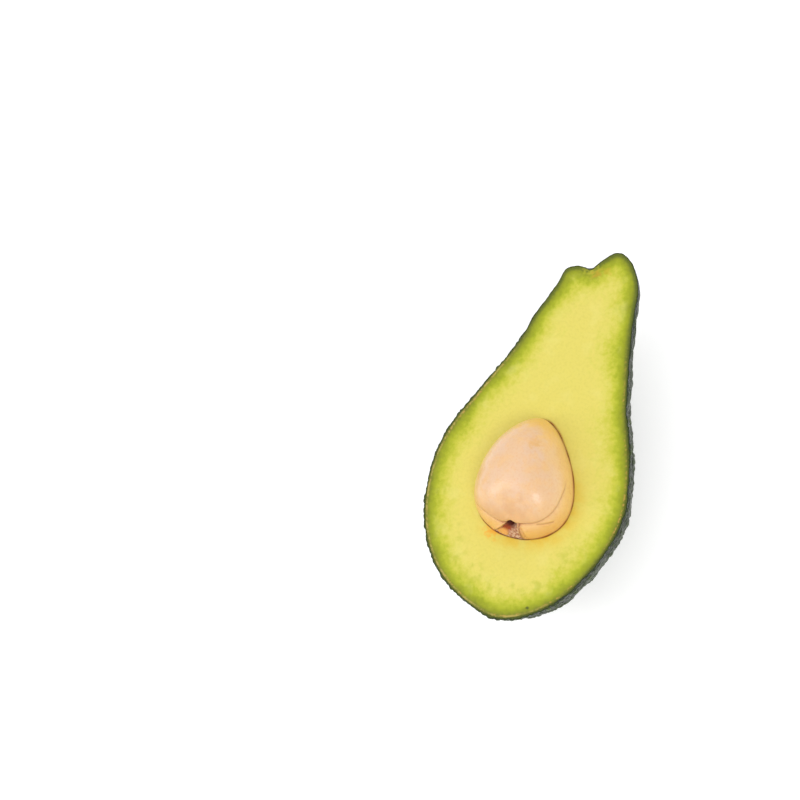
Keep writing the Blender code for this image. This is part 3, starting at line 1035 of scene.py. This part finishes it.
kernel.layer(kernel.attribute("seam"), (156, 90, 36), 0.85)
kernel.layer(kernel.attribute("roll"), (218, 152, 108), 0.65)
fuzz = kernel.mix(kernel.patches(0.0008, 0.4, 0.6), srgb(176, 118, 86), srgb(220, 182, 148))
kernel.layer(kernel.attribute("mouth"), fuzz)
kernel.layer(kernel.attribute("wall"), (164, 66, 14))
kernel.layer(kernel.attribute("flap"), (235, 170, 84))
# Painted shade: the hole's dark brown.
kernel.layer(kernel.attribute("hole"), (88, 26, 8))
kernel.layer(kernel.attribute("edge"), (118, 56, 18), 0.75)
for place in PINPRICKS:
    kernel.stain(on_seed(place), 0.0005, (120, 60, 40), 0.8)
kernel.send(kernel.colour, "Base Color")
kernel.send(kernel.group(FINE_BUMP, Size=0.0011, Height=0.00006), "Normal")
kernel.send(kernel.span(kernel.attribute("mouth"), 0.0, 1.0, 0.3, 0.8), "Roughness")
kernel.set(IOR=1.55, Subsurface_Weight=0.12, Subsurface_Scale=0.0015)
kernel.set(Subsurface_Radius=(1.0, 0.55, 0.3))
print("seed finish:", len(kernel.nodes), "nodes")

# %% [markdown]
# ## Dress the model
# Each new piece rides on the fruit's one body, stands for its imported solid, and names its finish.

# %% Dress the model
for piece, node, finish in ((skin, "skin", peel), (flesh, "flesh", pulp), (seed, "seed", kernel)):
    piece.data.materials.clear()
    piece.data.materials.append(finish.material)
    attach(piece, "root")
    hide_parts(node)
    print(piece.name, "stands for", node)

# %% [markdown]
# ## The table and the light
# The photograph's ground is plain white, with hardly a shadow on it. A plain white floor would turn
# grey beside the fruit, so this one glows faintly, which lifts the shadow without removing it.

# %% Floor
FLOOR_SIZE = 6.0
FLOOR_BELOW = -0.1 * MM

bpy.ops.object.select_all(action="DESELECT")
bpy.ops.mesh.primitive_plane_add(size=FLOOR_SIZE, location=(0, 0, FLOOR_BELOW))
floor = bpy.context.object
floor.name = "floor"
paint = Finish("floor")
paint.set(Base_Color=(0.86, 0.86, 0.86, 1.0), Roughness=0.8)
paint.set(Emission_Color=(1.0, 1.0, 1.0, 1.0), Emission_Strength=0.4)
floor.data.materials.append(paint.material)
print("floor is", FLOOR_SIZE, "m wide")

# %% [markdown]
# Most of the light comes from all round, as in a studio with white walls. Three soft boxes add to
# it. The large one behind models the forms. The other two stand where the seed mirrors them to the
# camera: the tall one on the left gives the long streak on its left bulge, the small one on the
# right the round spot on the other. The Standard view adds no look of its own to the colours.

# %% Lights
def softbox(name, direction, wide, tall, watts):
    """An upright soft box one metre from the fruit, facing it."""
    lamp = bpy.data.lights.new(name, "AREA")
    lamp.shape = "ELLIPSE"
    lamp.size, lamp.size_y = wide, tall
    lamp.energy = watts
    stand = bpy.data.objects.new(name, lamp)
    towards = Vector(direction).normalized()
    stand.location = towards + Vector((0, 0, CUT))
    stand.rotation_euler = towards.to_track_quat("Z", "Y").to_euler()
    bpy.context.scene.collection.objects.link(stand)


softbox("key", (-0.30, 0.60, 0.90), 1.2, 1.2, 1.1)
softbox("left", (-0.57, -0.34, 0.75), 0.18, 1.1, 2.6)
softbox("right", (0.50, -0.35, 0.79), 0.36, 0.36, 2.3)
world = bpy.data.worlds.new("studio")
world.use_nodes = True
background = world.node_tree.nodes["Background"]
background.inputs["Color"].default_value = (1.0, 1.0, 1.0, 1.0)
background.inputs["Strength"].default_value = 0.75
bpy.context.scene.world = world
bpy.context.scene.view_settings.view_transform = "Standard"
